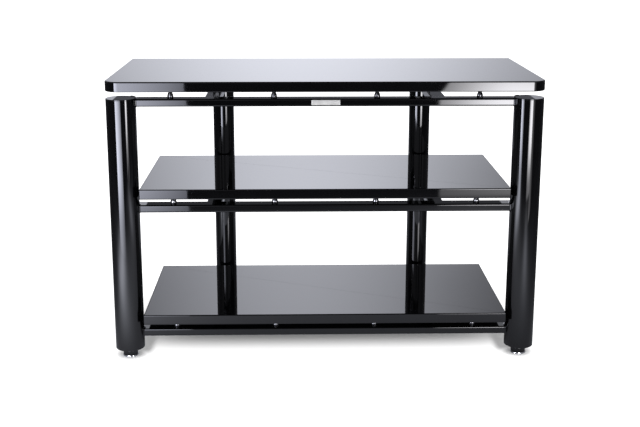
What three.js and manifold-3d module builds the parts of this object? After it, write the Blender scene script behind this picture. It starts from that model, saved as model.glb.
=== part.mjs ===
// Audio equipment rack: three lacquered boards that lie on steel cones, carried by a welded frame
// of round posts and flat rectangular tubes, on four levelling feet.
// Millimetres, +Z up. The front faces -Y, and the origin is on the floor at the middle of the
// footprint. Left and right are as seen from the front.
import * as THREE from "three";
import { mergeVertices } from "three/addons/utils/BufferGeometryUtils.js";
import Module from "manifold-3d";

// Overall size
const rackWidth = 1100;
const rackDepth = 480;
const rackHeight = 730;

// Boards
const boardThickness = 26;
const boardArris = 2.5;
const topCornerRadius = 32;
const middleBoardTop = 456;
const bottomBoardTop = 121;
const shelfFrontSetback = 5;
const shelfSideClearance = 4;
const shelfRearClearance = 10;

// Posts
const frontPostDiameter = 75;
const frontPostWall = 3;
const rearPostDiameter = 60;
const rearPostWall = 2.5;
const rearPostInset = 264;
const postRiseOverRail = 2;

// Rails and arms, cut from one flat rectangular tube
const railDepth = 40;
const railHeight = 20;
const railWall = 2;
const railCornerRadius = 4;
const railFrontSetback = 30;

// Cones that carry the boards, each screwed into an insert in the tube below it
const coneHeight = 21;
const coneDiameter = 16;
const coneCollarHeight = 6;
const coneShoulder = { diameter: 13.4, height: 10.2 };
const coneFlank = { diameter: 7.8, height: 14.7 };
const coneTipDiameter = 2.4;
const coneStudDiameter = 6;
const coneStudLength = 12;
const insertDiameter = 10;
const insertLength = 10;
const frontConeCount = 4;
const frontConeInset = 81;
const rearConeSetback = 40;

// Caps on the posts
const capThickness = 3;
const capArris = 0.8;
const capSpigotLength = 10;

// Plugs in the foot of the posts, threaded for the levelling feet
const plugThickness = 8;
const plugBossDiameter = 24;
const threadEngagement = 15;

// Levelling feet
const footHeight = 24;
const footTravel = 15;
const padDiameter = 40;
const padHeight = 17;
const padTopRound = 1.5;
const padBottomChamfer = 1.2;
const padNeckDiameter = 10.4;
const ballDiameter = 12;
const ballCentreHeight = 8.6;
const ballNeckDiameter = 8;
const threadDiameter = 10;
const threadChamfer = 1;
const hexAcrossFlats = 17;
const footRunningGap = 0.5;

// Fits and cuts
const fitGap = 0.3;
const cutOverrun = 5;

// Facets round the circle, and in a rounded corner
const frontPostFacets = 40;
const rearPostFacets = 32;
const footFacets = 24;
const coneFacets = 12;
const boreFacets = 12;
const ballFacets = 5;
const cornerFacets = 8;
const arrisFacets = 2;
const railCornerFacets = 3;
const hexFacets = 6;

// Places worked out from the sizes above
const frontY = -rackDepth / 2;
const backY = rackDepth / 2;
const frontPostX = (rackWidth - frontPostDiameter) / 2;
const frontPostY = frontY + frontPostDiameter / 2;
const rearPostX = rackWidth / 2 - rearPostInset;
const rearPostY = backY - rearPostDiameter / 2;
const railCentreY = frontY + railFrontSetback + railDepth / 2;
const railBackY = railCentreY + railDepth / 2;
const shelfWidth = rackWidth - 2 * frontPostDiameter - 2 * shelfSideClearance;
const shelfDepth = rackDepth - shelfFrontSetback - rearPostDiameter - shelfRearClearance;
const shelfCentreY = frontY + shelfFrontSetback + shelfDepth / 2;
const frontConePitch = (shelfWidth - 2 * frontConeInset) / (frontConeCount - 1);
const rearConeY = backY - rearPostDiameter - rearConeSetback;
const hexHeight = footHeight - padHeight - 2 * footRunningGap;
const threadTop = footHeight + footTravel + threadEngagement;
const levels = [
  { name: "top", boardTop: rackHeight },
  { name: "middle", boardTop: middleBoardTop },
  { name: "bottom", boardTop: bottomBoardTop },
];
for (const level of levels) {
  level.underside = level.boardTop - boardThickness;
  level.railTop = level.underside - coneHeight;
  level.railCentre = level.railTop - railHeight / 2;
}
const postTop = levels[0].railTop + postRiseOverRail;
const sides = [
  { name: "left", sign: -1 },
  { name: "right", sign: 1 },
];

// Materials
const boardLacquer = new THREE.MeshStandardMaterial({ color: 0x08080a, roughness: 0.05, metalness: 0 });
const frameLacquer = new THREE.MeshStandardMaterial({ color: 0x0b0b0d, roughness: 0.12, metalness: 0.1 });
const coneMetal = new THREE.MeshStandardMaterial({ color: 0xb8babd, roughness: 0.1, metalness: 1 });
const footChrome = new THREE.MeshStandardMaterial({ color: 0xd0d2d5, roughness: 0.06, metalness: 1 });
const zincSteel = new THREE.MeshStandardMaterial({ color: 0x9a9c9f, roughness: 0.35, metalness: 1 });

// Solids for joining and cutting
const wasm = await Module();
wasm.setup();

function toSolid(geometry) {
  const bare = new THREE.BufferGeometry();
  bare.setAttribute("position", geometry.getAttribute("position"));
  bare.setIndex(geometry.getIndex());
  const merged = mergeVertices(bare);
  return new wasm.Manifold(
    new wasm.Mesh({
      numProp: 3,
      vertProperties: new Float32Array(merged.getAttribute("position").array),
      triVerts: new Uint32Array(merged.getIndex().array),
    }),
  );
}

function toGeometry(solid) {
  const mesh = solid.getMesh();
  const geometry = new THREE.BufferGeometry();
  geometry.setAttribute("position", new THREE.BufferAttribute(mesh.vertProperties, mesh.numProp));
  geometry.setIndex(new THREE.BufferAttribute(mesh.triVerts, 1));
  return geometry;
}

function joined(first, ...others) {
  return toGeometry(others.reduce((solid, other) => solid.add(toSolid(other)), toSolid(first)));
}

function cut(first, ...tools) {
  return toGeometry(tools.reduce((solid, tool) => solid.subtract(toSolid(tool)), toSolid(first)));
}

// A turned solid about the Z axis. The profile is [radius, height] points, counter-clockwise.
function turned(profile, facets) {
  const points = profile.map(([radius, height]) => new THREE.Vector2(radius, height));
  return new THREE.LatheGeometry(points, facets).rotateX(Math.PI / 2);
}

// A plain round bar about the Z axis, from one height to another.
function roundBar(radius, from, to, facets) {
  return turned([[0, from], [radius, from], [radius, to], [0, to]], facets);
}

// The points of a round stretch of a profile, on a circle about [0, centreHeight].
function ballArc(radius, centreHeight, fromAngle, toAngle) {
  const points = [];
  for (let i = 0; i <= ballFacets; i++) {
    const angle = fromAngle + ((toAngle - fromAngle) * i) / ballFacets;
    points.push([radius * Math.cos(angle), centreHeight + radius * Math.sin(angle)]);
  }
  return points;
}

// Boards. The front corners may be rounded, and the arrises are eased all round.
function boardGeometry(width, depth, frontRadius) {
  const outline = new THREE.Shape();
  const right = width / 2;
  const back = depth / 2;
  outline.moveTo(right, back);
  outline.lineTo(-right, back);
  if (frontRadius > 0) {
    outline.lineTo(-right, frontRadius - back);
    outline.absarc(frontRadius - right, frontRadius - back, frontRadius, Math.PI, 1.5 * Math.PI);
    outline.absarc(right - frontRadius, frontRadius - back, frontRadius, 1.5 * Math.PI, 2 * Math.PI);
  } else {
    outline.lineTo(-right, -back);
    outline.lineTo(right, -back);
  }
  outline.closePath();
  return new THREE.ExtrudeGeometry(outline, {
    depth: boardThickness - 2 * boardArris,
    bevelThickness: boardArris,
    bevelSize: boardArris,
    bevelOffset: -boardArris,
    bevelSegments: arrisFacets,
    curveSegments: cornerFacets,
  }).translate(0, 0, boardArris);
}

// The section of the flat rectangular tube, with its round corners and its bore.
function roundedRectangle(path, width, height, radius) {
  const x = width / 2 - radius;
  const y = height / 2 - radius;
  path.absarc(x, y, radius, 0, Math.PI / 2);
  path.absarc(-x, y, radius, Math.PI / 2, Math.PI);
  path.absarc(-x, -y, radius, Math.PI, 1.5 * Math.PI);
  path.absarc(x, -y, radius, 1.5 * Math.PI, 2 * Math.PI);
  path.closePath();
  return path;
}

function flatTube(length) {
  const section = roundedRectangle(new THREE.Shape(), railDepth, railHeight, railCornerRadius);
  const bore = roundedRectangle(
    new THREE.Path(),
    railDepth - 2 * railWall,
    railHeight - 2 * railWall,
    railCornerRadius - railWall,
  );
  section.holes.push(bore);
  return new THREE.ExtrudeGeometry(section, {
    depth: length,
    bevelEnabled: false,
    curveSegments: railCornerFacets,
  });
}

// A flat tube with a threaded insert under its top wall at each [x, y], bored through.
function withInserts(tube, places) {
  const wallTop = railHeight / 2;
  const boreRadius = coneStudDiameter / 2 + fitGap;
  const inserts = places.map(([x, y]) =>
    roundBar(insertDiameter / 2, wallTop - insertLength, wallTop - railWall / 2, boreFacets).translate(x, y, 0),
  );
  const bores = places.map(([x, y]) =>
    roundBar(boreRadius, wallTop - insertLength - cutOverrun, wallTop + cutOverrun, boreFacets).translate(x, y, 0),
  );
  return cut(joined(tube, ...inserts), ...bores);
}

// The round tool that shapes the end of a flat tube to seat on a post.
function copeTool(postDiameter, x, y, facets) {
  return roundBar(postDiameter / 2 + fitGap, -railHeight, railHeight, facets).translate(x, y, 0);
}

const frontConeXs = Array.from(
  { length: frontConeCount },
  (_, i) => (i - (frontConeCount - 1) / 2) * frontConePitch,
);

// Front rail, along X about its own centre, coped onto both front posts.
function frontRailGeometry() {
  const alongX = new THREE.Matrix4().makeBasis(
    new THREE.Vector3(0, 1, 0),
    new THREE.Vector3(0, 0, 1),
    new THREE.Vector3(1, 0, 0),
  );
  const tube = flatTube(2 * frontPostX).applyMatrix4(alongX).translate(-frontPostX, 0, 0);
  const coped = cut(
    tube,
    ...sides.map((side) =>
      copeTool(frontPostDiameter, side.sign * frontPostX, frontPostY - railCentreY, frontPostFacets),
    ),
  );
  return withInserts(coped, frontConeXs.map((x) => [x, 0]));
}

// Arm, along Y from the back face of the front rail, coped onto its rear post.
function armGeometry() {
  const alongY = new THREE.Matrix4().makeBasis(
    new THREE.Vector3(-1, 0, 0),
    new THREE.Vector3(0, 0, 1),
    new THREE.Vector3(0, 1, 0),
  );
  const reach = rearPostY - railBackY;
  const tube = flatTube(reach).applyMatrix4(alongY);
  const coped = cut(tube, copeTool(rearPostDiameter, 0, reach, rearPostFacets));
  return withInserts(coped, [[0, rearConeY - railBackY]]);
}

// Domed cone with its threaded stud below, seated at height zero.
function coneGeometry() {
  const radius = coneDiameter / 2;
  const studRadius = coneStudDiameter / 2;
  return turned(
    [
      [0, -coneStudLength],
      [studRadius, -coneStudLength],
      [studRadius, 0],
      [radius, 0],
      [radius, coneCollarHeight],
      [coneShoulder.diameter / 2, coneShoulder.height],
      [coneFlank.diameter / 2, coneFlank.height],
      [coneTipDiameter / 2, coneHeight],
      [0, coneHeight],
    ],
    coneFacets,
  );
}

// Post tube, from the bottom of the post to the seat of its cap.
function postGeometry(diameter, wall, facets) {
  const outer = diameter / 2;
  const inner = outer - wall;
  const top = postTop - capThickness;
  return turned([[inner, footHeight], [outer, footHeight], [outer, top], [inner, top], [inner, footHeight]], facets);
}

// Flat lid on the post, with a spigot inside the tube.
function capGeometry(diameter, wall, facets) {
  const outer = diameter / 2;
  const spigot = outer - wall - fitGap;
  const seat = postTop - capThickness;
  return turned(
    [
      [0, seat - capSpigotLength],
      [spigot, seat - capSpigotLength],
      [spigot, seat],
      [outer, seat],
      [outer, postTop - capArris],
      [outer - capArris, postTop],
      [0, postTop],
    ],
    facets,
  );
}

// Plug in the foot of the post, with the long threaded boss that takes the foot's stud.
function plugGeometry(diameter, wall) {
  const rim = diameter / 2 - wall - fitGap;
  const bore = threadDiameter / 2 + fitGap;
  const shoulder = footHeight + plugThickness;
  return turned(
    [
      [bore, footHeight],
      [rim, footHeight],
      [rim, shoulder],
      [plugBossDiameter / 2, shoulder],
      [plugBossDiameter / 2, threadTop],
      [bore, threadTop],
      [bore, footHeight],
    ],
    footFacets,
  );
}

// Pad of a foot, with the round socket that holds the ball of the stud.
function padGeometry() {
  const radius = padDiameter / 2;
  const neck = padNeckDiameter / 2;
  const socket = ballDiameter / 2 + fitGap;
  const socketTopAngle = Math.acos(neck / socket);
  return turned(
    [
      [0, 0],
      [radius - padBottomChamfer, 0],
      [radius, padBottomChamfer],
      [radius, padHeight - padTopRound],
      [radius - padTopRound, padHeight],
      [neck, padHeight],
      ...ballArc(socket, ballCentreHeight, socketTopAngle, -Math.PI / 2),
    ],
    footFacets,
  );
}

// Stud of a foot: ball, neck, hexagon for the spanner, and thread.
function studGeometry() {
  const neck = ballNeckDiameter / 2;
  const thread = threadDiameter / 2;
  const hexBottom = padHeight + footRunningGap;
  const hexMiddle = hexBottom + hexHeight / 2;
  const ballTopAngle = Math.acos(ballNeckDiameter / ballDiameter);
  const spindle = turned(
    [
      ...ballArc(ballDiameter / 2, ballCentreHeight, -Math.PI / 2, ballTopAngle),
      [neck, hexMiddle],
      [thread, hexMiddle],
      [thread, threadTop - threadChamfer],
      [thread - threadChamfer, threadTop],
      [0, threadTop],
    ],
    boreFacets,
  );
  const hexRadius = hexAcrossFlats / 2 / Math.cos(Math.PI / hexFacets);
  return joined(spindle, roundBar(hexRadius, hexBottom, hexBottom + hexHeight, hexFacets));
}

// Scene graph
function piece(name, geometry, material) {
  const mesh = new THREE.Mesh(geometry, material);
  mesh.name = name;
  return mesh;
}

function placed(object, x, y, z) {
  object.position.set(x, y, z);
  return object;
}

// One post with its cap, its plug and its levelling foot.
function postGroup(name, diameter, wall, facets) {
  const group = new THREE.Group();
  group.add(
    piece(name + "_post", postGeometry(diameter, wall, facets), frameLacquer),
    piece(name + "_post_cap", capGeometry(diameter, wall, facets), frameLacquer),
    piece(name + "_post_plug", plugGeometry(diameter, wall), zincSteel),
    piece(name + "_foot_pad", padGeometry(), footChrome),
    piece(name + "_foot_stud", studGeometry(), zincSteel),
  );
  return group;
}

// One level of the frame with its cones: the front rail and the two arms behind it.
function levelGroup(level) {
  const group = new THREE.Group();
  group.add(placed(piece(level.name + "_front_rail", frontRailGeometry(), frameLacquer), 0, railCentreY, 0));
  frontConeXs.forEach((x, i) => {
    const cone = piece(level.name + "_front_cone_" + (i + 1), coneGeometry(), coneMetal);
    group.add(placed(cone, x, railCentreY, railHeight / 2));
  });
  for (const side of sides) {
    const arm = piece(level.name + "_arm_" + side.name, armGeometry(), frameLacquer);
    group.add(placed(arm, side.sign * rearPostX, railBackY, 0));
    const cone = piece(level.name + "_rear_cone_" + side.name, coneGeometry(), coneMetal);
    group.add(placed(cone, side.sign * rearPostX, rearConeY, railHeight / 2));
  }
  return placed(group, 0, 0, level.railCentre);
}

const rack = new THREE.Group();
for (const side of sides) {
  const front = postGroup("front_" + side.name, frontPostDiameter, frontPostWall, frontPostFacets);
  rack.add(placed(front, side.sign * frontPostX, frontPostY, 0));
  const rear = postGroup("rear_" + side.name, rearPostDiameter, rearPostWall, rearPostFacets);
  rack.add(placed(rear, side.sign * rearPostX, rearPostY, 0));
}
for (const level of levels) {
  rack.add(levelGroup(level));
}
const [topLevel, ...shelfLevels] = levels;
const topBoard = piece("top_board", boardGeometry(rackWidth, rackDepth, topCornerRadius), boardLacquer);
rack.add(placed(topBoard, 0, 0, topLevel.underside));
for (const level of shelfLevels) {
  const shelf = piece(level.name + "_shelf", boardGeometry(shelfWidth, shelfDepth, 0), boardLacquer);
  rack.add(placed(shelf, 0, shelfCentreY, level.underside));
}

export default rack;
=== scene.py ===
"""Looks of the audio equipment rack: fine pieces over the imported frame, materials, studio, camera.

The pieces and the camera are in millimetres and become metres by MM. The floor, the world and the
soft lights are in metres. The rack's front faces -Y.
"""

import math

import bpy
from mathutils import Matrix, Vector

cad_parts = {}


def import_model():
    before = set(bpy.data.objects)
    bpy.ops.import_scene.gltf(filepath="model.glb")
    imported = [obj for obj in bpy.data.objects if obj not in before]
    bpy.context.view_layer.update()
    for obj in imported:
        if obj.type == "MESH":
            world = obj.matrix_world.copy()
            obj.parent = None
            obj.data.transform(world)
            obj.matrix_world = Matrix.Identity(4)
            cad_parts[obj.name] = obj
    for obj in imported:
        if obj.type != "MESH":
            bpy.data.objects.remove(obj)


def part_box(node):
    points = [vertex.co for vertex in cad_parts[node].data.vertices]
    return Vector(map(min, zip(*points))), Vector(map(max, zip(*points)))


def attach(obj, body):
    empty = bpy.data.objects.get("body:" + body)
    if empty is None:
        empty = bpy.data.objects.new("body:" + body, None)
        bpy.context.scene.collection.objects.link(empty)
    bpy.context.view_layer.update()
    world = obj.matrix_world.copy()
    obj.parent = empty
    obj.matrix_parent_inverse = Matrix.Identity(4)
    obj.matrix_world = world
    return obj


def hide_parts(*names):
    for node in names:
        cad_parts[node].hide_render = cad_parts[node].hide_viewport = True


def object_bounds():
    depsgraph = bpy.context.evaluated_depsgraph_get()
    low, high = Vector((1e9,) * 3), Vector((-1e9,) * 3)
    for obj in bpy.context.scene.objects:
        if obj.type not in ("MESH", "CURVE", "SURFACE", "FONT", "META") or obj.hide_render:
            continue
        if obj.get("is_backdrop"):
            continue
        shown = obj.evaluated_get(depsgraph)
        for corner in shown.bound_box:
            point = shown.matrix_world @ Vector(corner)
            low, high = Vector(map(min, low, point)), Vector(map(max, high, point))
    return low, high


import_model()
cad_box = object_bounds()

MM = 0.001

SIDES = ("left", "right")
LEVELS = {"top": "top_board", "middle": "middle_shelf", "bottom": "bottom_shelf"}


# Meshes

SHARP_ANGLE = 40
ON_AXIS = 1e-6
ROUND_STEPS, SMALL_ROUND_STEPS = 6, 3
# Support points beside an arc keep the faces next to it flat in their shading. They are this far
# from it: a share of the radius in a profile, millimetres in a plan and in a tube's section.
PROFILE_SUPPORT_SHARE = 0.35
PLAN_SUPPORT = 0.5
SECTION_SUPPORT = 0.35


def node_box(node):
    """Lowest and highest corner of a CAD node, in millimetres."""
    low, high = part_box(node)
    return Vector(low) / MM, Vector(high) / MM


def add_object(name, data):
    """A new object, linked to the scene."""
    made = bpy.data.objects.new(name, data)
    bpy.context.scene.collection.objects.link(made)
    return made


def mesh_piece(name, shape, material, body, slot, *nodes):
    """A piece from vertices and faces that rides on a body, in place of the named CAD nodes."""
    vertices, faces = shape
    mesh = bpy.data.meshes.new(name)
    mesh.from_pydata([[c * MM for c in v] for v in vertices], [], faces)
    mesh.shade_smooth()
    mesh.set_sharp_from_angle(angle=math.radians(SHARP_ANGLE))
    mesh.materials.append(material)
    piece = add_object(name, mesh)
    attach(piece, body)
    if nodes:
        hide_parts(*nodes)


def rounded(points, steps=ROUND_STEPS):
    """A profile of [a, b] or [a, b, radius] points, with an arc and its support points at each radius."""
    profile = []
    for i, point in enumerate(points):
        corner = Vector(point[:2])
        if len(point) == 2:
            profile.append(corner)
            continue
        radius = point[2]
        before = Vector(points[i - 1][:2]) - corner
        after = Vector(points[i + 1][:2]) - corner
        half = before.angle(after) / 2
        reach = radius / math.tan(half)
        before.normalize()
        after.normalize()
        centre = corner + (before + after).normalized() * radius / math.sin(half)
        start, end = corner + before * reach, corner + after * reach
        profile.append(start + before * PROFILE_SUPPORT_SHARE * radius)
        for k in range(steps + 1):
            spoke = (start - centre).normalized().slerp((end - centre).normalized(), k / steps)
            profile.append(centre + spoke * radius)
        profile.append(end + after * PROFILE_SUPPORT_SHARE * radius)
    return profile


def skin(rings, closed=False, capped=False):
    """Vertices and faces of a skin over rings of points. A ring of a single point is a tip.

    A closed skin goes on from the last ring to the first, and a capped one has a face on both.
    """
    count = max(len(ring) for ring in rings)
    vertices, numbers = [], []
    for ring in rings:
        numbers.append([len(vertices) + i % len(ring) for i in range(count)])
        vertices.extend(ring)
    faces = []
    for low, high in zip(numbers, numbers[1:] + (numbers[:1] if closed else [])):
        for quad in zip(low, low[1:] + low[:1], high[1:] + high[:1], high):
            faces.append([v for k, v in enumerate(quad) if v != quad[k - 1]])
    if capped:
        faces.append(numbers[0][::-1])
        faces.append(numbers[-1])
    return vertices, faces


def merged(*shapes):
    """The vertices and faces of several shapes as one."""
    vertices, faces = [], []
    for shape_vertices, shape_faces in shapes:
        base = len(vertices)
        vertices.extend(shape_vertices)
        faces.extend([base + v for v in face] for face in shape_faces)
    return vertices, faces


def full_turn(facets):
    """The angles of a circle's points."""
    return [2 * math.pi * i / facets for i in range(facets)]


def on_circle(centre, radius, angle, height):
    """A point about the vertical axis through centre."""
    return centre[0] + radius * math.cos(angle), centre[1] + radius * math.sin(angle), centre[2] + height


def lathe(profile, facets, centre, closed=False):
    """A turned solid about a vertical axis, from [radius, height] points. One on the axis is a tip."""
    angles = full_turn(facets)
    rings = []
    for radius, height in profile:
        ring = [on_circle(centre, radius, angle, height) for angle in angles]
        rings.append(ring[:1] if radius < ON_AXIS else ring)
    return skin(rings, closed)


def outline(half_width, front, back, radii, steps):
    """Points round a plate in plan, anticlockwise.

    radii and steps are those of the two front corners, then of the two at the back.
    """
    corners = [
        (half_width, front, radii[0], -90, steps[0]),
        (half_width, back, radii[1], 0, steps[1]),
        (-half_width, back, radii[1], 90, steps[1]),
        (-half_width, front, radii[0], 180, steps[0]),
    ]
    points = []
    for x, y, radius, start, count in corners:
        cx = x - math.copysign(radius, x)
        cy = y + radius if y == front else y - radius
        for k in range(-1, count + 2):
            on_arc = min(max(k, 0), count)
            angle = math.radians(start + 90 * on_arc / count)
            beside = PLAN_SUPPORT * (k - on_arc)
            points.append((
                cx + radius * math.cos(angle) - beside * math.sin(angle),
                cy + radius * math.sin(angle) + beside * math.cos(angle),
            ))
    return points


def arc_about_axis(radius, height, start, end, steps):
    """Profile points of an arc about a point on the axis, between two angles in degrees."""
    angles = [math.radians(start + (end - start) * k / steps) for k in range(steps + 1)]
    return [(radius * math.cos(angle), height + radius * math.sin(angle)) for angle in angles]


# Materials

class Nodes:
    """Short calls for the nodes of a material, a world or a light."""

    def __init__(self, owner):
        owner.use_nodes = True
        self.owner = owner
        self.tree = owner.node_tree
        self.tree.nodes.clear()

    def add(self, kind, values=None, **settings):
        """A node with its settings, and with values or links for its inputs."""
        node = self.tree.nodes.new(kind)
        for key, value in settings.items():
            setattr(node, key, value)
        for key, value in (values or {}).items():
            if isinstance(value, bpy.types.NodeSocket):
                self.tree.links.new(value, node.inputs[key])
            else:
                node.inputs[key].default_value = value
        return node

    def math(self, operation, *values):
        """A node of the named operation."""
        return self.add("ShaderNodeMath", dict(enumerate(values)), operation=operation).outputs[0]

    def plus(self, first, *others):
        """The sum of all values."""
        for other in others:
            first = self.math("ADD", first, other)
        return first

    def times(self, first, *others):
        """The product of all values."""
        for other in others:
            first = self.math("MULTIPLY", first, other)
        return first

    def minus(self, value, other):
        return self.math("SUBTRACT", value, other)

    def over(self, value, other):
        return self.math("DIVIDE", value, other)

    def absolute(self, value):
        return self.math("ABSOLUTE", value)

    def bell(self, value):
        """1 at zero, falling off on both sides with a spread of 1."""
        return self.math("EXPONENT", self.times(value, value, -0.5))

    def spread(self, value, low, high, to_low, to_high, kind="LINEAR"):
        """The value mapped from the range low to high onto to_low to to_high, and held outside it."""
        return self.add("ShaderNodeMapRange", {
            "Value": value, "From Min": low, "From Max": high, "To Min": to_low, "To Max": to_high,
        }, interpolation_type=kind).outputs[0]

    def ease(self, value, low, high, to_low, to_high):
        """The same mapping with soft ends."""
        return self.spread(value, low, high, to_low, to_high, "SMOOTHSTEP")

    def axes(self, vector):
        """The x, y and z of a vector."""
        return self.add("ShaderNodeSeparateXYZ", {0: vector}).outputs

    def noise(self, scale, detail=3.0, roughness=0.5, stretch=(1, 1, 1)):
        """Noise in the piece's own space, scale to the metre."""
        where = self.add("ShaderNodeTexCoord").outputs["Object"]
        place = self.add("ShaderNodeMapping", {"Vector": where, "Scale": stretch}).outputs[0]
        return self.add("ShaderNodeTexNoise", {
            "Vector": place, "Scale": scale, "Detail": detail, "Roughness": roughness,
        }).outputs["Fac"]

    def colours(self, factor, *stops):
        """A colour ramp of [position, colour] stops."""
        ramp = self.add("ShaderNodeValToRGB", {"Fac": factor})
        elements = ramp.color_ramp.elements
        while len(elements) < len(stops):
            elements.new(0.5)
        for element, (position, colour) in zip(elements, stops):
            element.position = position
            element.color = (*colour, 1)
        return ramp.outputs["Color"]

    def bump(self, height, depth, under=None):
        """A bump of a depth in metres, over another bump where one is given."""
        values = {"Height": height, "Distance": depth, "Strength": 1.0}
        if under:
            values["Normal"] = under
        return self.add("ShaderNodeBump", values).outputs[0]

    def emission(self, strength, colour=(1, 1, 1)):
        return self.add("ShaderNodeEmission", {"Color": (*colour, 1), "Strength": strength}).outputs[0]

    def finish(self, shader, kind="ShaderNodeOutputMaterial"):
        """The owner, with the shader as its output."""
        self.add(kind, {0: shader})
        return self.owner


# Noises, each with its scale to the metre, its detail and, where it isn't plain, its roughness
HAZE, PEEL, WAVE, DUST = (9.0, 4.0, 0.55), (420.0, 2.0), (14.0, 1.0), (900.0, 1.0)
CLOUD = (60.0, 3.0)
# The part of each noise that shows
HAZE_RANGE, DUST_RANGE = (0.3, 0.75), (0.74, 0.8)
CLOUD_RANGE, MARKS_RANGE = (0.3, 0.7), (0.5, 0.75)
MARKS_DETAIL, MARKS_ROUGHNESS = 3.0, 0.6
# What haze and dust add to the lacquer
HAZE_LIGHT, DUST_LIGHT, DUST_ROUGHNESS = 0.8, 0.3, 0.12
WAVE_DEPTH_SHARE = 6
LACQUER_IOR = 1.5
# How the marks of polishing are drawn out along the axes of the piece
ROUND_MARKS = (1, 1, 14)
LONG_MARKS = (1, 30, 30)


def lacquer(name, dark, light, roughness, peel):
    """High-gloss black lacquer: slight orange peel, a long wave, wiping haze and a few dust specks."""
    n = Nodes(bpy.data.materials.new(name))
    haze, fine, wave = n.noise(*HAZE), n.noise(*PEEL), n.noise(*WAVE)
    specks = n.spread(n.noise(*DUST), *DUST_RANGE, 0.0, 1.0)
    tone = n.plus(n.times(haze, HAZE_LIGHT), n.times(specks, DUST_LIGHT))
    rough = n.plus(n.spread(haze, *HAZE_RANGE, *roughness), n.times(specks, DUST_ROUGHNESS))
    shader = n.add("ShaderNodeBsdfPrincipled", {
        "Base Color": n.colours(tone, (0.3, dark), (0.8, light)),
        "Roughness": rough,
        "Normal": n.bump(fine, peel, n.bump(wave, peel * WAVE_DEPTH_SHARE)),
        "IOR": LACQUER_IOR,
    })
    return n.finish(shader.outputs[0])


def plated(name, dark, light, roughness, marks, mark_depth, stretch=ROUND_MARKS, metallic=1.0):
    """Plated metal with faint polishing marks."""
    n = Nodes(bpy.data.materials.new(name))
    smooth, dull = roughness
    cloud = n.noise(*CLOUD)
    lines = n.noise(marks, MARKS_DETAIL, MARKS_ROUGHNESS, stretch)
    added = n.spread(lines, *MARKS_RANGE, 0.0, dull - smooth)
    rough = n.plus(n.spread(cloud, *CLOUD_RANGE, smooth, dull), added)
    shader = n.add("ShaderNodeBsdfPrincipled", {
        "Base Color": n.colours(cloud, (0.35, dark), (0.7, light)),
        "Metallic": metallic,
        "Roughness": rough,
        "Normal": n.bump(lines, mark_depth),
    })
    return n.finish(shader.outputs[0])


BOARD = lacquer(
    "board_lacquer_gloss", dark=(0.0012, 0.0012, 0.0016), light=(0.003, 0.003, 0.0038),
    roughness=(0.02, 0.05), peel=4e-6,
)
FRAME = lacquer(
    "frame_lacquer_gloss", dark=(0.0014, 0.0014, 0.0018), light=(0.0034, 0.0034, 0.004),
    roughness=(0.03, 0.06), peel=6e-6,
)
CONE = plated(
    "cone_black_nickel", dark=(0.23, 0.23, 0.235), light=(0.32, 0.32, 0.325),
    roughness=(0.05, 0.12), marks=500.0, mark_depth=4e-6,
)
CHROME = plated(
    "foot_bright_chrome", dark=(0.74, 0.75, 0.76), light=(0.84, 0.84, 0.85),
    roughness=(0.03, 0.09), marks=500.0, mark_depth=3e-6,
)
ZINC = plated(
    "zinc_plate", dark=(0.42, 0.43, 0.44), light=(0.62, 0.62, 0.6),
    roughness=(0.25, 0.4), marks=380.0, mark_depth=1e-5,
)
PLATE = plated(
    "plate_satin", dark=(0.72, 0.72, 0.72), light=(0.82, 0.82, 0.81),
    roughness=(0.35, 0.5), marks=300.0, mark_depth=8e-6, stretch=LONG_MARKS, metallic=0.15,
)
COLLAR = plated(
    "collar_black", dark=(0.02, 0.02, 0.024), light=(0.035, 0.035, 0.04),
    roughness=(0.12, 0.2), marks=500.0, mark_depth=4e-6, metallic=0.3,
)


# Boards

TOP_RADIUS = 37
SHELF_RADIUS = 3
BOARD_ARRIS = 2.5
BOARD_STEPS = (24, 6)


def board(node, front_radius):
    """A lacquered board with round corners and edges."""
    low, high = node_box(node)
    edge = rounded([
        (front_radius, low.z), (0, low.z, BOARD_ARRIS), (0, high.z, BOARD_ARRIS), (front_radius, high.z),
    ])
    rings = []
    for inset, height in edge[1:-1]:
        radii = (front_radius - inset, SHELF_RADIUS - inset)
        plan = outline(high.x - inset, low.y + inset, high.y - inset, radii, BOARD_STEPS)
        rings.append([(x, y, height) for x, y in plan])
    mesh_piece(node + "_lacquered", skin(rings, capped=True), BOARD, node, "board_lacquer", node)


for level, node in LEVELS.items():
    board(node, TOP_RADIUS if level == "top" else SHELF_RADIUS)


# Posts with lids, plugs and feet

POST_WALLS = {"front": 3, "rear": 2.5}
POST_FACETS, PLUG_FACETS, STUD_FACETS = 96, 64, 40
POST_ROUND_STEPS, SOCKET_STEPS, BALL_STEPS = 4, 12, 14
POST_SPLIT = 5
POST_ARRIS, LID_ARRIS = 0.5, 0.9
SEAM = 0.3
LID_PLAY = 0.3

# The plug's bore with its wider mouth, its flange under the post and its neck above that
PLUG_BORE, MOUTH_RADIUS, MOUTH_DEPTH = 5.3, 6.2, 1.2
FLANGE_HEIGHT, FLANGE_ARRIS = 8, 0.6
NECK_RADIUS, NECK_ARRIS = 12, 0.8

# The ball of the stud and its socket in the pad
BALL_HEIGHT, BALL_RADIUS, BALL_END = 8.6, 6, 48.2
SOCKET_RADIUS, SOCKET_END = 6.3, 34.3
PAD_MOUTH, PAD_MOUTH_ARRIS = 5.2, 0.4

# The pad's bright ring from the floor up: inset from the pad's edge, height and rounding
RING = ((1.6, 0, 0.5), (0, 1.4, 0.8), (0, 2.6, 0.9), (0.65, 4.2, 0.4), (2.4, 4.2), (2.4, 2.2))
# The dark collar that stands in the ring, in the same way, and the rounding of its top
PAD_COLLAR = ((2.5, 2.3), (2.5, 3.9), (1.2, 4.3, 0.3))
PAD_COLLAR_ARRIS = 1.6
SOCKET_FLOOR = 2.35

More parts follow.
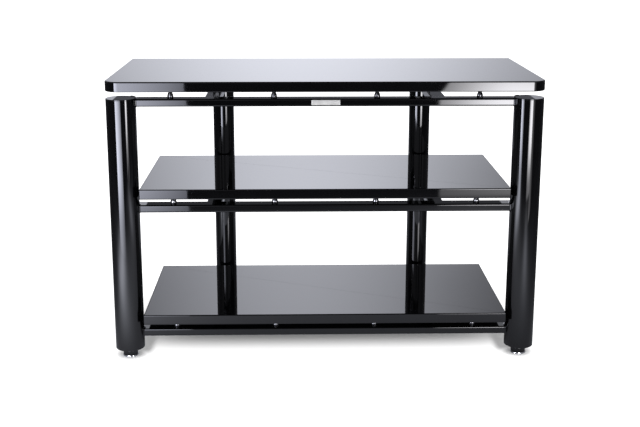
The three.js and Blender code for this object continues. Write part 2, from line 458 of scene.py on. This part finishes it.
# The stud's shank above the ball, its hexagon and its thread
SHANK_RADIUS, SHANK_TOP = 4, 18.5
HEX_FLATS, HEX_LOW, HEX_HIGH = 17, 17.5, 23.5
HEX_STEPS = 8
HEX_FACE_SHARE = 0.96
HEX_SLOPE = math.tan(math.radians(30))
THREAD_RADIUS, THREAD_PITCH, THREAD_DEPTH, THREAD_LOW = 5, 1.5, 0.9, 23.4
THREAD_ROWS = 8
# How steeply a thread's flank rises, and how much of its root is flat, as shares of the depth
FLANK_SHARE, ROOT_SHARE = 1.25, 0.1


def post_of(name):
    """The centre of a post in plan, and its radius."""
    low, high = node_box(name + "_post")
    return (low.x + high.x) / 2, (low.y + high.y) / 2, (high.y - low.y) / 2


def thread(low, high, centre):
    """The stud's helical thread as a skin of rings, from low to high, fading at the top."""
    rows = int((high - low) / THREAD_PITCH * THREAD_ROWS)
    rings = []
    for j in range(rows + 1):
        z = low + (high - low) * j / rows
        fade = min(1, (high - z) / THREAD_PITCH)
        ring = []
        for i, angle in enumerate(full_turn(STUD_FACETS)):
            phase = (z / THREAD_PITCH - i / STUD_FACETS) % 1
            crest = 1 - abs(2 * phase - 1)
            cut = THREAD_DEPTH * (1 - min(1, max(0, crest * FLANK_SHARE - ROOT_SHARE)))
            ring.append(on_circle(centre, THREAD_RADIUS - cut - (1 - fade) * THREAD_DEPTH, angle, z))
        rings.append(ring)
    return skin(rings, capped=True)


def hexagon(centre):
    """The stud's hexagon, its corners turned off to a round chamfer at the top and bottom."""
    apothem = HEX_FLATS / 2
    inner = apothem * HEX_FACE_SHARE
    sixth = math.pi / 3
    angles = full_turn(6 * HEX_STEPS)
    flats = [inner for _ in angles]
    walls = [apothem / math.cos((angle + sixth / 2) % sixth - sixth / 2) for angle in angles]

    def ring(radii, height, slope):
        return [on_circle(centre, r, angle, height + (r - inner) * slope) for r, angle in zip(radii, angles)]

    return skin([
        ring(flats, HEX_LOW, HEX_SLOPE), ring(walls, HEX_LOW, HEX_SLOPE),
        ring(walls, HEX_HIGH, -HEX_SLOPE), ring(flats, HEX_HIGH, -HEX_SLOPE),
    ], capped=True)


def post_with_lid(name, wall, centre, radius):
    """The tube of one post, and the lid on it."""
    inner = radius - wall
    low, high = node_box(name + "_post")
    seat = high.z
    tube = rounded([
        (inner, low.z + POST_SPLIT), (inner, low.z), (radius, low.z, POST_ARRIS), (radius, seat, SEAM),
        (inner, seat),
    ], POST_ROUND_STEPS)
    turned = lathe(tube, POST_FACETS, centre, True)
    mesh_piece(name + "_post_tube", turned, FRAME, "frame", "frame_lacquer", name + "_post")

    low, high = node_box(name + "_post_cap")
    lid = rounded([
        (0, low.z), (inner - LID_PLAY, low.z), (inner - LID_PLAY, seat), (radius, seat, SEAM),
        (radius, high.z, LID_ARRIS), (0, high.z),
    ])
    turned = lathe(lid, POST_FACETS, centre)
    mesh_piece(name + "_post_lid", turned, FRAME, "frame", "frame_lacquer", name + "_post_cap")


def plug(name, centre):
    """The threaded plug in the foot of one post."""
    low, high = node_box(name + "_post_plug")
    rim, shoulder = (high.x - low.x) / 2, low.z + FLANGE_HEIGHT
    profile = rounded([
        (PLUG_BORE, low.z + MOUTH_DEPTH), (MOUTH_RADIUS, low.z), (rim, low.z, FLANGE_ARRIS),
        (rim, shoulder, FLANGE_ARRIS), (NECK_RADIUS, shoulder), (NECK_RADIUS, high.z, NECK_ARRIS),
        (PLUG_BORE, high.z),
    ], SMALL_ROUND_STEPS)
    turned = lathe(profile, PLUG_FACETS, centre, True)
    mesh_piece(name + "_plug", turned, ZINC, "frame", "zinc_steel", name + "_post_plug")


def pad(name, centre):
    """The pad of one foot: its bright ring, and the dark collar with the socket."""
    node = name + "_foot_pad"
    low, high = node_box(node)
    radius = (high.x - low.x) / 2
    edge = [(radius - inset, *rest) for inset, *rest in RING]
    ring = rounded([(0, 0), *edge, (0, edge[-1][1])])
    turned = lathe(ring, POST_FACETS, centre)
    mesh_piece(name + "_pad_chromed", turned, CHROME, name + "_pad", "foot_chrome", node)

    edge = [(radius - inset, *rest) for inset, *rest in PAD_COLLAR]
    socket = arc_about_axis(SOCKET_RADIUS, BALL_HEIGHT, SOCKET_END, -90, SOCKET_STEPS)
    collar = rounded([
        (0, edge[0][1]), *edge, (edge[-1][0], high.z, PAD_COLLAR_ARRIS),
        (PAD_MOUTH, high.z, PAD_MOUTH_ARRIS), (PAD_MOUTH, BALL_HEIGHT),
    ])
    turned = lathe(collar[:-1] + socket[:-1] + [(0, SOCKET_FLOOR)], POST_FACETS, centre)
    mesh_piece(name + "_pad_collar", turned, FRAME, name + "_pad", "frame_lacquer", node)


def stud(name, centre):
    """The threaded stud of one foot, with its ball and hexagon."""
    node = name + "_foot_stud"
    top = node_box(node)[1].z
    ball = arc_about_axis(BALL_RADIUS, BALL_HEIGHT, -90, BALL_END, BALL_STEPS)
    shank = [(SHANK_RADIUS, SHANK_TOP), (0, SHANK_TOP)]
    turned = lathe(ball + shank, STUD_FACETS, centre)
    shape = merged(turned, hexagon(centre), thread(THREAD_LOW, top, centre))
    mesh_piece(name + "_stud_threaded", shape, ZINC, name + "_stud", "zinc_steel", node)


for end, wall in POST_WALLS.items():
    for side in SIDES:
        name = end + "_" + side
        x, y, radius = post_of(name)
        post_with_lid(name, wall, (x, y, 0), radius)
        plug(name, (x, y, 0))
        pad(name, (x, y, 0))
        stud(name, (x, y, 0))


# Rails, arms and their welds

RAIL_DEPTH, RAIL_HEIGHT, RAIL_WALL, RAIL_CORNER = 40, 20, 2, 4
CORNER_STEPS, WIDE_SIDE_STEPS = 6, 14
WELD = 3.6
WELD_HOLLOW_SHARE = 0.12
WELD_SUNK = 0.4
WELD_STEPS = 5


def section(width, height, radius):
    """The round-cornered section of a flat tube, anticlockwise, its wide sides split for the saddle cuts."""
    a, b = width / 2 - radius, height / 2 - radius
    splits = [2 * a * k / WIDE_SIDE_STEPS for k in range(1, WIDE_SIDE_STEPS)]
    wide = [SECTION_SUPPORT, *splits, 2 * a - SECTION_SUPPORT]
    narrow = [SECTION_SUPPORT, 2 * b - SECTION_SUPPORT]
    corners = ((a, b, 0, wide), (-a, b, 90, narrow), (-a, -b, 180, wide), (a, -b, 270, narrow))
    points = []
    for x, y, start, side in corners:
        for k in range(CORNER_STEPS + 1):
            angle = math.radians(start + 90 * k / CORNER_STEPS)
            points.append((x + radius * math.cos(angle), y + radius * math.sin(angle)))
        end_x, end_y = points[-1]
        ahead = math.radians(start + 180)
        points.extend((end_x + run * math.cos(ahead), end_y + run * math.sin(ahead)) for run in side)
    return points


def section_normals(points):
    """The outward direction at each point of a section."""
    neighbours = zip(points[-1:] + points[:-1], points[1:] + points[:1])
    return [Vector((by - ay, ax - bx)).normalized() for (ax, ay), (bx, by) in neighbours]


OUTER = section(RAIL_DEPTH, RAIL_HEIGHT, RAIL_CORNER)
INNER = section(RAIL_DEPTH - 2 * RAIL_WALL, RAIL_HEIGHT - 2 * RAIL_WALL, RAIL_CORNER - RAIL_WALL)
NORMALS = section_normals(OUTER)


def flat_tube(place, start, end):
    """A flat tube whose ends follow start and end, functions of the section point.

    place turns the section point and the length along the tube into x, y, z.
    """
    rings = [
        [place(a, b, edge(a, b)) for a, b in ring]
        for ring, edge in ((OUTER, start), (OUTER, end), (INNER, end), (INNER, start))
    ]
    return skin(rings, closed=True)


def weld(place, edge, inward):
    """A small smooth fillet round one end of a tube, from the tube's face to the round post.

    inward is 1 where the tube goes on in the direction of its length, and -1 where it ends.
    """
    rings = []
    for (a, b), (na, nb) in zip(OUTER, NORMALS):
        root = Vector((a, b, edge(a, b)))
        on_tube = Vector((a, b, root.z + inward * WELD))
        on_post = Vector((a + na * WELD, b + nb * WELD, 0))
        on_post.z = edge(on_post.x, on_post.y)
        hidden = (a - na * WELD_SUNK, b - nb * WELD_SUNK, root.z)
        control = root + Vector((na, nb, inward)) * WELD * WELD_HOLLOW_SHARE
        ring = []
        for k in range(WELD_STEPS + 1):
            t = k / WELD_STEPS
            ring.append(place(*(on_tube * (1 - t) ** 2 + control * 2 * t * (1 - t) + on_post * t * t)))
        rings.append(ring + [place(*hidden)])
    vertices, faces = skin(rings, closed=True)
    return vertices, faces if inward > 0 else [face[::-1] for face in faces]


def front_rail(level):
    """A front rail with a weld at both posts."""
    node = level + "_front_rail"
    low, high = node_box(node)
    cy, cz = (low.y + high.y) / 2, (low.z + high.z) / 2
    x_post, y_post, radius = post_of("front_right")

    def place(a, b, along):
        return along, cy + a, cz + b

    def right(a, b):
        return x_post - math.sqrt(radius ** 2 - (cy + a - y_post) ** 2)

    def left(a, b):
        return -right(a, b)

    welds = merged(weld(place, left, 1), weld(place, right, -1))
    mesh_piece(node + "_tube", flat_tube(place, left, right), FRAME, "frame", "frame_lacquer", node)
    mesh_piece(node + "_welds", welds, FRAME, "frame", "frame_lacquer")


def arm(level, side):
    """An arm from a front rail, whose rounding it follows, back to its weld at a rear post."""
    node = level + "_arm_" + side
    low, high = node_box(node)
    cx, cz = (low.x + high.x) / 2, (low.z + high.z) / 2
    x_post, y_post, radius = post_of("rear_" + side)
    reach = RAIL_HEIGHT / 2 - RAIL_CORNER

    def place(a, b, along):
        return cx - a, along, cz + b

    def front(a, b):
        over = max(0, abs(b) - reach)
        return low.y - (RAIL_CORNER - math.sqrt(max(0, RAIL_CORNER ** 2 - over ** 2)))

    def rear(a, b):
        return y_post - math.sqrt(radius ** 2 - (cx - a - x_post) ** 2)

    mesh_piece(node + "_tube", flat_tube(place, front, rear), FRAME, "frame", "frame_lacquer", node)
    mesh_piece(node + "_weld", weld(place, rear, -1), FRAME, "frame", "frame_lacquer")


for level in LEVELS:
    front_rail(level)
    for side in SIDES:
        arm(level, side)


# Cones

CONE_HEIGHT = 21
CONE_FACETS = 48
FRONT_CONES = 4
# Both outlines from the rail's top face: the collar with the pin in the rail, and the dome on it
CONE_COLLAR = (
    (0, -12), (3, -12, 0.5), (3, 0), (7.4, 0, 0.3), (7.8, 0.5, 0.3), (7.8, 2.6, 0.3), (7.2, 3.1),
    (7.2, 3.5), (0, 3.5),
)
CONE_DOME = (
    (0, 3.6), (7.3, 3.6), (7.8, 3.8), (8.0, 4.2), (7.85, 5.0), (7.65, 6.0), (7.4, 7.0), (7.1, 8.0),
    (6.75, 9.0), (6.3, 10.2), (5.6, 12.0), (4.8, 13.4), (3.9, 14.8), (3.05, 16.2), (2.3, 17.5),
    (1.65, 18.9), (1.2, 20.1), (0.9, 20.8), (0.45, CONE_HEIGHT), (0, CONE_HEIGHT),
)


def cone(node):
    """A cone that carries a board: a short round collar with a dome on it."""
    low, high = node_box(node)
    centre = ((low.x + high.x) / 2, (low.y + high.y) / 2, high.z - CONE_HEIGHT)
    collar = lathe(rounded(CONE_COLLAR, SMALL_ROUND_STEPS), CONE_FACETS, centre)
    mesh_piece(node + "_collar", collar, COLLAR, "frame", "cone_metal", node)
    mesh_piece(node + "_dome", lathe(CONE_DOME, CONE_FACETS, centre), CONE, "frame", "cone_metal", node)


for level in LEVELS:
    for i in range(FRONT_CONES):
        cone(f"{level}_front_cone_{i + 1}")
    for side in SIDES:
        cone(f"{level}_rear_cone_{side}")


# The bare plate at the middle of the top front rail

PLATE_WIDTH, PLATE_HEIGHT, PLATE_CORNER = 72, 13, 1.4
PLATE_STEPS = (6, 6)
# Inset and height over the rail, from the plate's edge over its raised rim to its face
PLATE_EDGE = ((0, 0), (0, 0.5), (0.1, 0.7), (0.3, 0.8), (0.7, 0.8), (0.9, 0.65), (1.2, 0.65))


def plate():
    """A small bare plate with a raised rim."""
    low, high = node_box("top_front_rail")
    middle = (low.z + high.z) / 2
    rings = []
    for inset, out in PLATE_EDGE:
        top = PLATE_HEIGHT / 2 - inset
        radii = (PLATE_CORNER - inset, PLATE_CORNER - inset)
        face = outline(PLATE_WIDTH / 2 - inset, -top, top, radii, PLATE_STEPS)
        rings.append([(x, low.y - out, middle + z) for x, z in face])
    mesh_piece("name_plate", skin(rings, capped=True), PLATE, "frame", "zinc_steel")


plate()


# Floor

FLOOR_REACH = 60
PAPER_GRAIN = 90.0
PAPER_DARK, PAPER_LIGHT = (0.79, 0.79, 0.795), (0.81, 0.81, 0.81)

# Here and below, a range of four values maps from its first two to its last two.

# What the camera sees on top of the paper, with painted shade in it: less inside the painted shade rectangle
# below the rack, which is given by its half width, front and back, and less at the front feet and in a band
# behind each, as painted shadows
PAINTED_SHADE_BOX = (0.47, -0.075, 0.2)
LIFT_WITH_PAINTED_SHADE = (0.0, 0.115, 0.15, 0.86)
PAINTED_CONTACT_SHADE = (0.018, 0.055, 0.85, 0.0)
STRIP_ACROSS = (0.03, 0.055, 1.0, 0.0)
STRIP_FRONT = (-0.215, -0.165, 0.0, 1.0)
STRIP_BACK = (0.0, 0.15, 1.0, 0.0)
PAINTED_STRIP_SHADE = 0.85
SHADE_SHIFT = 0.01

# What reflections see, all painted light and painted shade: a dim floor with painted pools of light, each
# given by its x, y, reach in x and y and brightness, painted shade under the rack, and painted light on a
# brighter floor behind the rack in line with the camera's place
DIM_FLOOR_IN_REFLECTIONS = 0.056
PAINTED_LIGHT_POOLS = (
    (-0.915, -1.0, 0.25, 0.243, 5.2),
    (-0.986, -0.676, 0.2, 0.138, 1.63),
    (-0.706, -0.541, 0.224, 0.16, 1.26),
    (0.687, -1.122, 0.182, 0.314, 1.63),
    (-0.168, -0.751, 0.907, 0.45, 0.755),
    (0.36, -1.64, 0.28, 0.12, 0.2),
)
PAINTED_RACK_SHADE = (0.0, 0.14, 0.1, 1.0)
SEEN_FROM = (-0.073, -2.73)
PAINTED_LIGHT_BEHIND = (0.25, 0.9, 0.0, 0.33)
BEHIND_ACROSS = (0.24, 0.34, 1.0, 0.0)
FLOOR_TINT = (0.96, 0.99, 1.12)


def floor_paper():
    """White paper for light, with a brightness of its own for the camera, lessened in painted shade, and one
    for reflections, with painted pools of light, painted shade and painted light behind the rack.
    """
    n = Nodes(bpy.data.materials.new("floor_paper"))
    rays = n.add("ShaderNodeLightPath").outputs
    x, y, _ = n.axes(n.add("ShaderNodeTexCoord").outputs["Object"])
    beside = n.absolute(x)

    def distance(across, along):
        return n.math("SQRT", n.plus(n.times(across, across), n.times(along, along)))

    def above_zero(value):
        return n.math("MAXIMUM", value, 0.0)

    # Painted shade: the camera's brightness is lessened in this rectangle below the rack and round the front
    # feet, and painted shadows fall in a band behind each foot.
    half_width, front, back = PAINTED_SHADE_BOX
    out_y = n.math("MAXIMUM", n.minus(front, y), n.minus(y, back))
    outside = distance(above_zero(n.minus(beside, half_width)), above_zero(out_y))

    foot_x, foot_y, _ = (length * MM for length in post_of("front_right"))
    from_foot = distance(n.minus(beside, foot_x), n.minus(y, foot_y + SHADE_SHIFT))
    painted_contact_shade = n.ease(from_foot, *PAINTED_CONTACT_SHADE)
    painted_strip_shadow = n.times(
        n.ease(n.absolute(n.minus(beside, foot_x - SHADE_SHIFT)), *STRIP_ACROSS),
        n.ease(y, *STRIP_FRONT), n.ease(y, *STRIP_BACK), PAINTED_STRIP_SHADE,
    )
    shade = n.math("MAXIMUM", painted_strip_shadow, painted_contact_shade)
    # The camera's own brightness, held down by the painted shade and painted shadows.
    lift = n.times(rays["Is Camera Ray"], n.ease(outside, *LIFT_WITH_PAINTED_SHADE), n.minus(1.0, shade))
    paper = n.add("ShaderNodeBsdfDiffuse", {
        "Color": n.colours(n.noise(PAPER_GRAIN, 4.0), (0.3, PAPER_DARK), (0.7, PAPER_LIGHT)),
    }).outputs[0]
    lit = n.add("ShaderNodeAddShader", {0: paper, 1: n.emission(lift)}).outputs[0]

    gloss = DIM_FLOOR_IN_REFLECTIONS
    # Painted pools of light on the floor, which only reflections see.
    for cx, cy, reach_x, reach_y, level in PAINTED_LIGHT_POOLS:
        off_x = n.minus(n.over(x, reach_x), cx / reach_x)
        off_y = n.minus(n.over(y, reach_y), cy / reach_y)
        gloss = n.plus(n.times(n.bell(distance(off_x, off_y)), level), gloss)
    # Painted shade in reflections: the floor darker under the rack and round the front feet.
    gloss = n.times(gloss, n.ease(outside, *PAINTED_RACK_SHADE), n.minus(1.0, painted_contact_shade))
    # Painted light: the floor brighter behind the rack, which only reflections see.
    aside = n.over(n.absolute(n.minus(x, SEEN_FROM[0])), n.minus(y, SEEN_FROM[1]))
    gloss = n.plus(gloss, n.times(n.spread(y, *PAINTED_LIGHT_BEHIND), n.ease(aside, *BEHIND_ACROSS)))
    mirrored = n.emission(gloss, FLOOR_TINT)
    mix = n.add("ShaderNodeMixShader", {0: rays["Is Glossy Ray"], 1: lit, 2: mirrored})
    return n.finish(mix.outputs[0])


def floor():
    """A wide floor of paper."""
    mesh = bpy.data.meshes.new("floor")
    r = FLOOR_REACH
    mesh.from_pydata([(-r, -r, 0), (r, -r, 0), (r, r, 0), (-r, r, 0)], [], [[0, 1, 2, 3]])
    mesh.materials.append(floor_paper())
    add_object("floor", mesh)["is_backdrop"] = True


# World

PLAIN_LIGHT = 0.95
WORLD_TINT = (0.965, 0.985, 1.085)

# The bright backdrop behind the rack, by its height in the view: brightness, width and middle,
# with what it gives to the sides and how it ends at the top
BACKDROP = ((0.123, 1.47), (0.143, 1.57), (0.216, 1.76), (0.246, 2.03), (0.319, 1.74), (0.363, 1.95))
BACKDROP_PEAK = 2.1
BACKDROP_WIDTH = (0.13, 0.23, 0.18, 0.148)
BACKDROP_WAIST = (0.24, 0.33, 0.0, 0.016)
BACKDROP_MIDDLE = (0.15, 0.23, 0.005, 0.002)
BACKDROP_SIDES = (0.3, 1.0, 0.03, 0.3)
BACKDROP_TOP = (0.4, 0.5, 1.0, 0.12)

# The faint light in front of the rack: to both sides, its darker gap, its foot and its top
FRONT_SIDES = (0.7, 1.15, 0.3, 0.0)
FRONT_GAP_AT = 0.08
FRONT_GAP = (0.08, 0.22, 0.06, 1.0)
FRONT_FOOT = (-0.06, 0.04, 0.0, 1.0)
FRONT_TOP = (0.5, 0.68, 1.0, 0.0)


def world():
    """White for the camera and plain for light, with a backdrop and a faint front in reflections."""
    n = Nodes(bpy.data.worlds.new("studio"))
    rays = n.add("ShaderNodeLightPath").outputs
    seen, mirrored = rays["Is Camera Ray"], rays["Is Glossy Ray"]
    x, y, z = n.axes(n.add("ShaderNodeTexCoord").outputs["Generated"])

    azimuth = n.math("ARCTAN2", x, y)
    width = n.minus(n.spread(z, *BACKDROP_WIDTH), n.spread(z, *BACKDROP_WAIST))
    off = n.over(n.minus(azimuth, n.spread(z, *BACKDROP_MIDDLE)), width)
    levels = [(height, (level / BACKDROP_PEAK,) * 3) for height, level in BACKDROP]
    peak = n.times(n.colours(z, *levels), BACKDROP_PEAK)
    backdrop = n.plus(n.times(n.bell(off), peak), n.ease(n.absolute(azimuth), *BACKDROP_SIDES))
    backdrop = n.times(backdrop, n.ease(z, *BACKDROP_TOP))

    ahead = n.math("ARCTAN2", x, n.times(y, -1.0))
    gap = n.ease(n.absolute(n.minus(ahead, FRONT_GAP_AT)), *FRONT_GAP)
    band = n.times(n.ease(z, *FRONT_FOOT), n.ease(z, *FRONT_TOP))
    front = n.times(n.ease(n.absolute(ahead), *FRONT_SIDES), gap, band)

    gloss = n.times(mirrored, n.plus(backdrop, front))
    plain = n.times(n.minus(1.0, seen), n.minus(1.0, mirrored), PLAIN_LIGHT)
    colours = {"Factor": mirrored, 6: (1, 1, 1, 1), 7: (*WORLD_TINT, 1)}
    colour = n.add("ShaderNodeMix", colours, data_type="RGBA").outputs[2]
    strength = n.plus(seen, gloss, plain)
    shader = n.add("ShaderNodeBackground", {"Color": colour, "Strength": strength}).outputs[0]
    bpy.context.scene.world = n.finish(shader, "ShaderNodeOutputWorld")


# Soft lights, which only reflections see

LIGHT_TOP = 0.85

LEFT_OUTER, LEFT_INNER = (-1.015, -0.855), (-0.446, -1.1)
LEFT_TINT = (0.927, 0.955, 1.118)
LEFT_POWER = 1.3
LEFT_ACROSS = (1.0, 0.0, 3.6, 20.6)
LEFT_RISE = (-0.9, -0.45, 0.0, 0.0585)
LEFT_FOOT = (0.05, 0.325, 0.0, 1.0)
LEFT_HEAD = (0.42, 0.58, 1.0, 0.92)
LEFT_TOP = (0.62, 0.68, 1.0, 0.0)
LEFT_END = (-1.0, -0.985, 0.0, 1.0)

RIGHT_INNER, RIGHT_OUTER = (0.42, -1.4), (1.46, -1.47)
RIGHT_TINT = (0.993, 0.983, 1.026)
# The panel's bright side leans, by this much for each metre from this height
RIGHT_LEAN, RIGHT_LEAN_FROM = 0.2, 0.54
RIGHT_ACROSS = (0.43, 0.73, 4.6, 20.8)
RIGHT_HEAD = (0.46, 0.53, 0.93, 0.87)
RIGHT_BROW = (0.53, 0.56, 1.0, 0.84)
RIGHT_FOOT = (0.15, 0.38, 0.012, 1.0)
# The dimmer light below the panel
LOW_FOOT = (0.11, 0.14, 0.0, 1.0)
LOW_ACROSS = (0.45, 0.75, 1.7, 3.0)
# The slanting inner edge, the outer end with the halo beyond it, and the top
RIGHT_EDGE = (0.523, 0.561, 0.452, 0.478)
RIGHT_EDGE_BLUR = (-0.004, 0.012, 0.0, 1.0)
RIGHT_END = (0.93, 1.02)
HALO = (1.02, 1.4, 2.2, 0.3)
RIGHT_TOP = (0.6, 0.66, 1.0, 0.0)


def left_pattern(n, x, z):
    """Brightest at its outer end, fading to the floor."""
    inward = n.spread(x, LEFT_INNER[0], LEFT_OUTER[0], 1.0, 0.0)
    across = n.spread(n.math("POWER", inward, LEFT_POWER), *LEFT_ACROSS)
    foot = n.spread(n.plus(z, n.spread(x, *LEFT_RISE)), *LEFT_FOOT)
    fade = n.times(foot, n.spread(z, *LEFT_HEAD), n.ease(z, *LEFT_TOP))
    return n.times(across, fade, n.spread(x, *LEFT_END))


def right_pattern(n, x, z):
    """A bright leaning panel over a dimmer light, with a halo beyond its outer end."""
    lean = n.minus(x, n.times(n.minus(z, RIGHT_LEAN_FROM), RIGHT_LEAN))
    upright = n.times(n.ease(z, *RIGHT_FOOT), n.spread(z, *RIGHT_BROW))
    panel = n.times(n.ease(lean, *RIGHT_ACROSS), n.spread(z, *RIGHT_HEAD), upright)
    low = n.times(n.ease(z, *LOW_FOOT), n.spread(x, *LOW_ACROSS))
    slant = n.minus(x, n.spread(z, *RIGHT_EDGE))
    lit = n.times(n.plus(panel, low), n.ease(slant, *RIGHT_EDGE_BLUR), n.ease(x, *RIGHT_END, 1.0, 0.0))
    halo = n.times(n.ease(x, *RIGHT_END, 0.0, 1.0), n.spread(x, *HALO))
    return n.times(n.plus(lit, halo), n.ease(z, *RIGHT_TOP))


def soft_light(name, right_end, left_end, tint, pattern):
    """An upright light that faces the rack, over the line between its two ends as the camera sees them.

    pattern makes its brightness from the place across and up.
    """
    light = bpy.data.lights.new(name, "AREA")
    light.shape = "RECTANGLE"
    start, end = Vector(right_end), Vector(left_end)
    light.size, light.size_y = (end - start).length, LIGHT_TOP
    light.energy = math.pi * light.size * light.size_y
    n = Nodes(light)
    x, _, z = n.axes(n.add("ShaderNodeNewGeometry").outputs["Position"])
    n.finish(n.emission(pattern(n, x, z), tint), "ShaderNodeOutputLight")

    placed = add_object(name, light)
    up = Vector((0, 0, 1))
    along = (end - start).to_3d().normalized()
    turn = Matrix((-along, up, -along.cross(up))).transposed().to_4x4()
    middle = (start + end) / 2
    placed.matrix_world = Matrix.Translation((middle.x, middle.y, LIGHT_TOP / 2)) @ turn
    placed.visible_camera = False
    placed.visible_diffuse = False


floor()
world()
soft_light("softbox_left", LEFT_INNER, LEFT_OUTER, LEFT_TINT, left_pattern)
soft_light("softbox_right", RIGHT_OUTER, RIGHT_INNER, RIGHT_TINT, right_pattern)


# Camera, from the fit to the photograph

CAMERA_AT = (-72.7, -2730.6, 1091.9)
YAW, PITCH, ROLL = -0.0231, 0.2168, -0.0014
LENS, SENSOR, SHIFT_Y = 57.386, 36, -0.09


def camera():
    """The photograph's camera, with a part of its lens shift."""
    data = bpy.data.cameras.new("camera")
    data.lens = LENS
    data.sensor_width = SENSOR
    data.shift_y = SHIFT_Y
    placed = add_object("camera", data)
    turn = Matrix.Rotation(YAW, 3, "Z") @ Matrix.Rotation(-PITCH, 3, "X") @ Matrix.Rotation(ROLL, 3, "Y")
    right, forward, up = turn.col
    facing = Matrix((right, up, -forward)).transposed().to_4x4()
    placed.matrix_world = Matrix.Translation(Vector(CAMERA_AT) * MM) @ facing
    bpy.context.scene.camera = placed


camera()
bpy.context.scene.view_settings.view_transform = "Standard"

[[list(corner) for corner in box] for box in (cad_box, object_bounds())]
